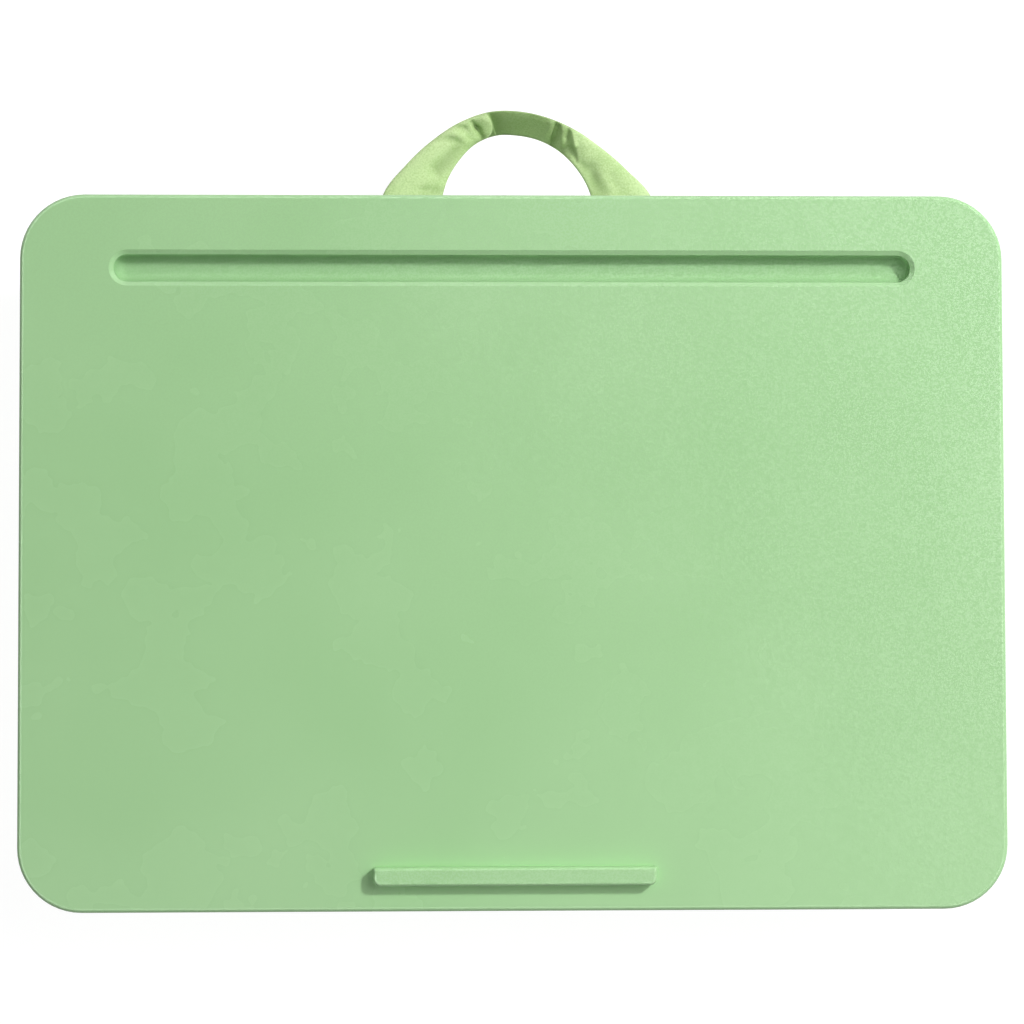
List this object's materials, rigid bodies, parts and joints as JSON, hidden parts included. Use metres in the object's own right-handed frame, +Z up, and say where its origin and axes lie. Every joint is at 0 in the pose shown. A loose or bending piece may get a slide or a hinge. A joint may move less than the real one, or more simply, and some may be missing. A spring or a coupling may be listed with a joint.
{
  "type": "lap desk",
  "caption": "Storage lap desk with a lift-up moulded top, a device groove, a front ledge, a paper tray, a bead cushion and a padded carrying loop.",
  "frame": {"origin": "centre of the cushion's flat underside, where the desk rests on the lap", "axes": "+X to the user's right along the long side, +Y away from the user towards the hinges, +Z up out of the working top"},
  "size_m": [0.445, 0.3693, 0.0918],
  "materials": {
    "deck_plastic": "satin",
    "tray_plastic": "satin",
    "pin_steel": "satin",
    "magnet_nickel": "gloss",
    "strike_steel": "satin",
    "screw_zinc": "satin",
    "bumper_rubber": "matte",
    "board_fibre": "matte",
    "cover_fabric": "matte",
    "bag_fabric": "matte",
    "staple_wire": "satin",
    "handle_fabric": "matte",
    "padding_foam": "matte"
  },
  "bodies": {
    "root": {"storage_tray": "tray_plastic", "divider_panel": "tray_plastic", "hinge_pin_left": "pin_steel", "hinge_pin_right": "pin_steel", "strike_plates": "strike_steel", "strike_screws": "screw_zinc", "rim_bumpers": "bumper_rubber", "cushion_board": "board_fibre", "board_screws": "screw_zinc", "cushion_side_band": "cover_fabric", "cushion_bottom_panel": "cover_fabric", "bead_bag": "bag_fabric", "cover_staples": "staple_wire", "handle_tab_left": "handle_fabric", "handle_tab_right": "handle_fabric"},
    "lid": {"deck_lid": "deck_plastic", "device_ledge": "deck_plastic", "lid_magnets": "magnet_nickel"},
    "handle": {"handle_strap": "handle_fabric", "handle_padding": "padding_foam"}
  },
  "joints": [
    {"name": "lid_hinge", "type": "hinge", "parent": "root", "child": "lid", "pos_m": [0, 0.15375, 0.077], "axis": [-1, 0, 0], "range_deg": [0, 105]},
    {"name": "handle_swing", "type": "hinge", "parent": "root", "child": "handle", "pos_m": [0.0025, 0.154, 0.043], "axis": [1, 0, 0], "range_deg": [-50, 60], "stiffness_Nm_per_rad": 0.02, "springref_deg": 1.72}
  ]
}
